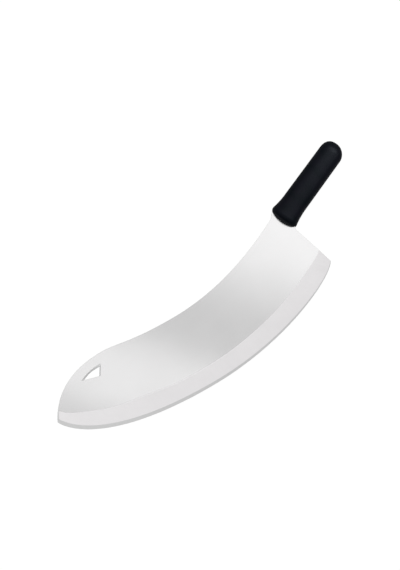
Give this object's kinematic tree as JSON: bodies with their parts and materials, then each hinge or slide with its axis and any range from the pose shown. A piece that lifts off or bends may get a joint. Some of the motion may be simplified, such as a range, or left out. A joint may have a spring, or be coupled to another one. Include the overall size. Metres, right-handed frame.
{
  "type": "curved mincing knife",
  "caption": "Broad, strongly curved rocking knife for mincing, with a single moulded grip at one end and a three-sided hang hole near the rounded free end.",
  "frame": {"origin": "middle of the knife's footprint as it lies flat, at the height of the handle's underside", "axes": "+X from the blade's free end towards the handle, along the chord of the cutting edge; +Y from the cutting edge towards the hollow spine; +Z square to the blade's faces, up"},
  "size_m": [0.5614, 0.2222, 0.0287],
  "materials": {
    "blade_steel": "satin stainless steel with a ground band along the cutting edge and a narrow honed strip at the edge itself",
    "handle_plastic": "black moulded plastic, matt with a faint sheen along the top"
  },
  "bodies": {
    "root": {"blade": "blade_steel", "handle": "handle_plastic"}
  },
  "joints": []
}
